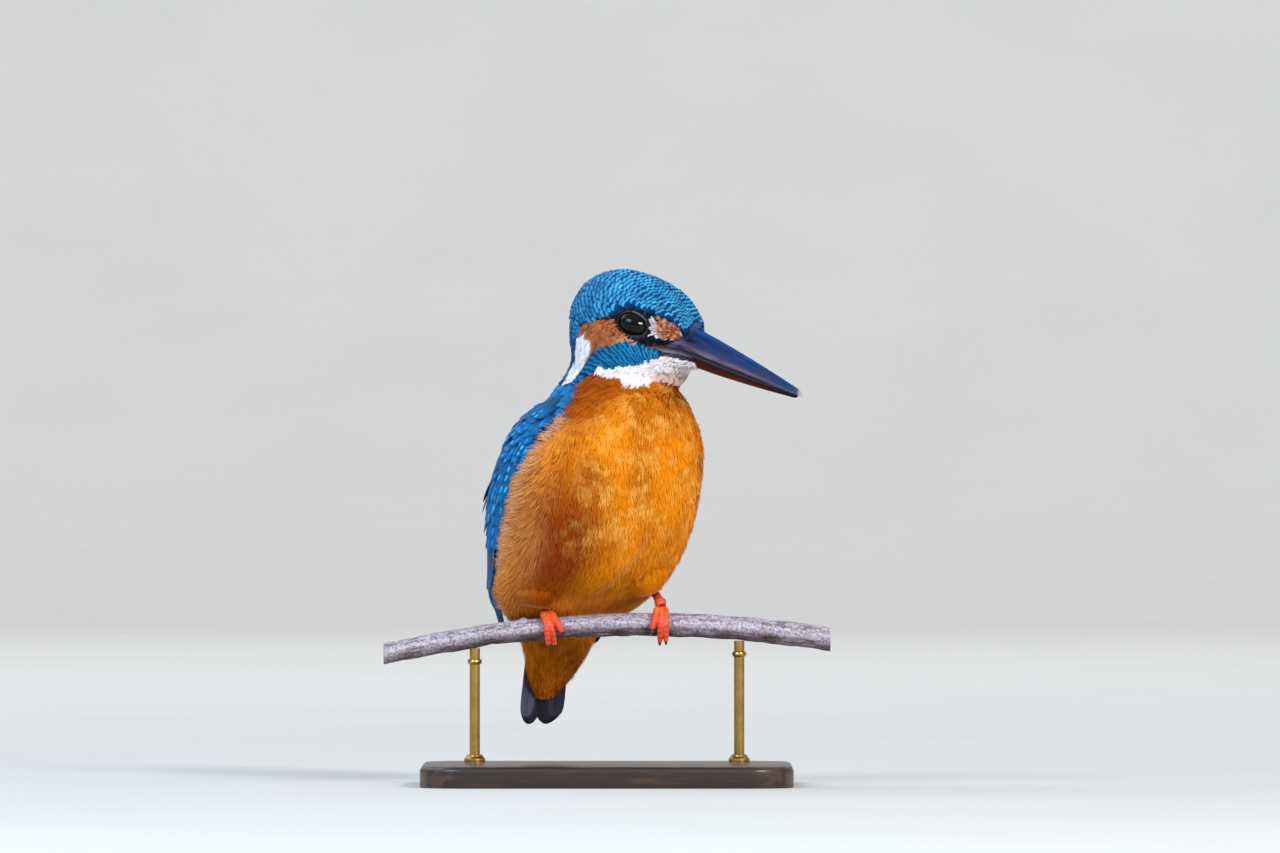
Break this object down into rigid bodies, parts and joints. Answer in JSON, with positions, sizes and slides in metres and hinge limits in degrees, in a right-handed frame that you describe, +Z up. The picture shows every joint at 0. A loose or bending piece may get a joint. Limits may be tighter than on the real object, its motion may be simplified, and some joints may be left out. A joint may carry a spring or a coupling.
{
  "type": "common kingfisher model on a perch",
  "caption": "Upright perched kingfisher with a long dagger bill, blue back and orange breast, gripping a cut branch on a flat display stand.",
  "frame": {"origin": "on the table under the stand base, below the middle of the perch", "axes": "+Z up, -Y the front that the breast faces, +X the side that the bill points to, along the perch"},
  "size_m": [0.125, 0.076, 0.1442],
  "materials": {
    "feathers_blue": "dark blue feathers with bright turquoise bars and spots and a silky sheen",
    "feathers_orange": "soft rusty orange breast and belly feathers, mottled with gold",
    "feathers_slate": "dark slate flight and tail feathers with thin blue edges",
    "eye": "wet black-brown eye",
    "bill_horn": "glossy black horn with a blue sheen and a reddish keel",
    "foot_skin": "moist coral red scaled skin",
    "claw_horn": "dark glossy horn",
    "bark": "weathered grey-lilac twig bark with fine fissures",
    "stand_wood": "satin dark walnut",
    "stand_brass": "brushed brass"
  },
  "bodies": {
    "root": {"head": "feathers_blue", "neck": "feathers_blue", "trunk": "feathers_orange", "undertail_coverts": "feathers_orange", "tail": "feathers_slate", "wing_left": "feathers_blue", "wing_right": "feathers_blue", "eye_left": "eye", "eye_right": "eye", "bill_upper": "bill_horn", "bill_lower": "bill_horn", "thigh_left": "feathers_orange", "leg_left": "foot_skin", "toes_fused_left": "foot_skin", "toe_inner_left": "foot_skin", "toe_hind_left": "foot_skin", "claw_inner_left": "claw_horn", "claw_middle_left": "claw_horn", "claw_outer_left": "claw_horn", "claw_hind_left": "claw_horn", "thigh_right": "feathers_orange", "leg_right": "foot_skin", "toes_fused_right": "foot_skin", "toe_inner_right": "foot_skin", "toe_hind_right": "foot_skin", "claw_inner_right": "claw_horn", "claw_middle_right": "claw_horn", "claw_outer_right": "claw_horn", "claw_hind_right": "claw_horn", "perch": "bark", "stand_base": "stand_wood", "stand_rod_left": "stand_brass", "stand_rod_right": "stand_brass", "stand_collar_left": "stand_brass", "stand_collar_right": "stand_brass"}
  },
  "joints": []
}
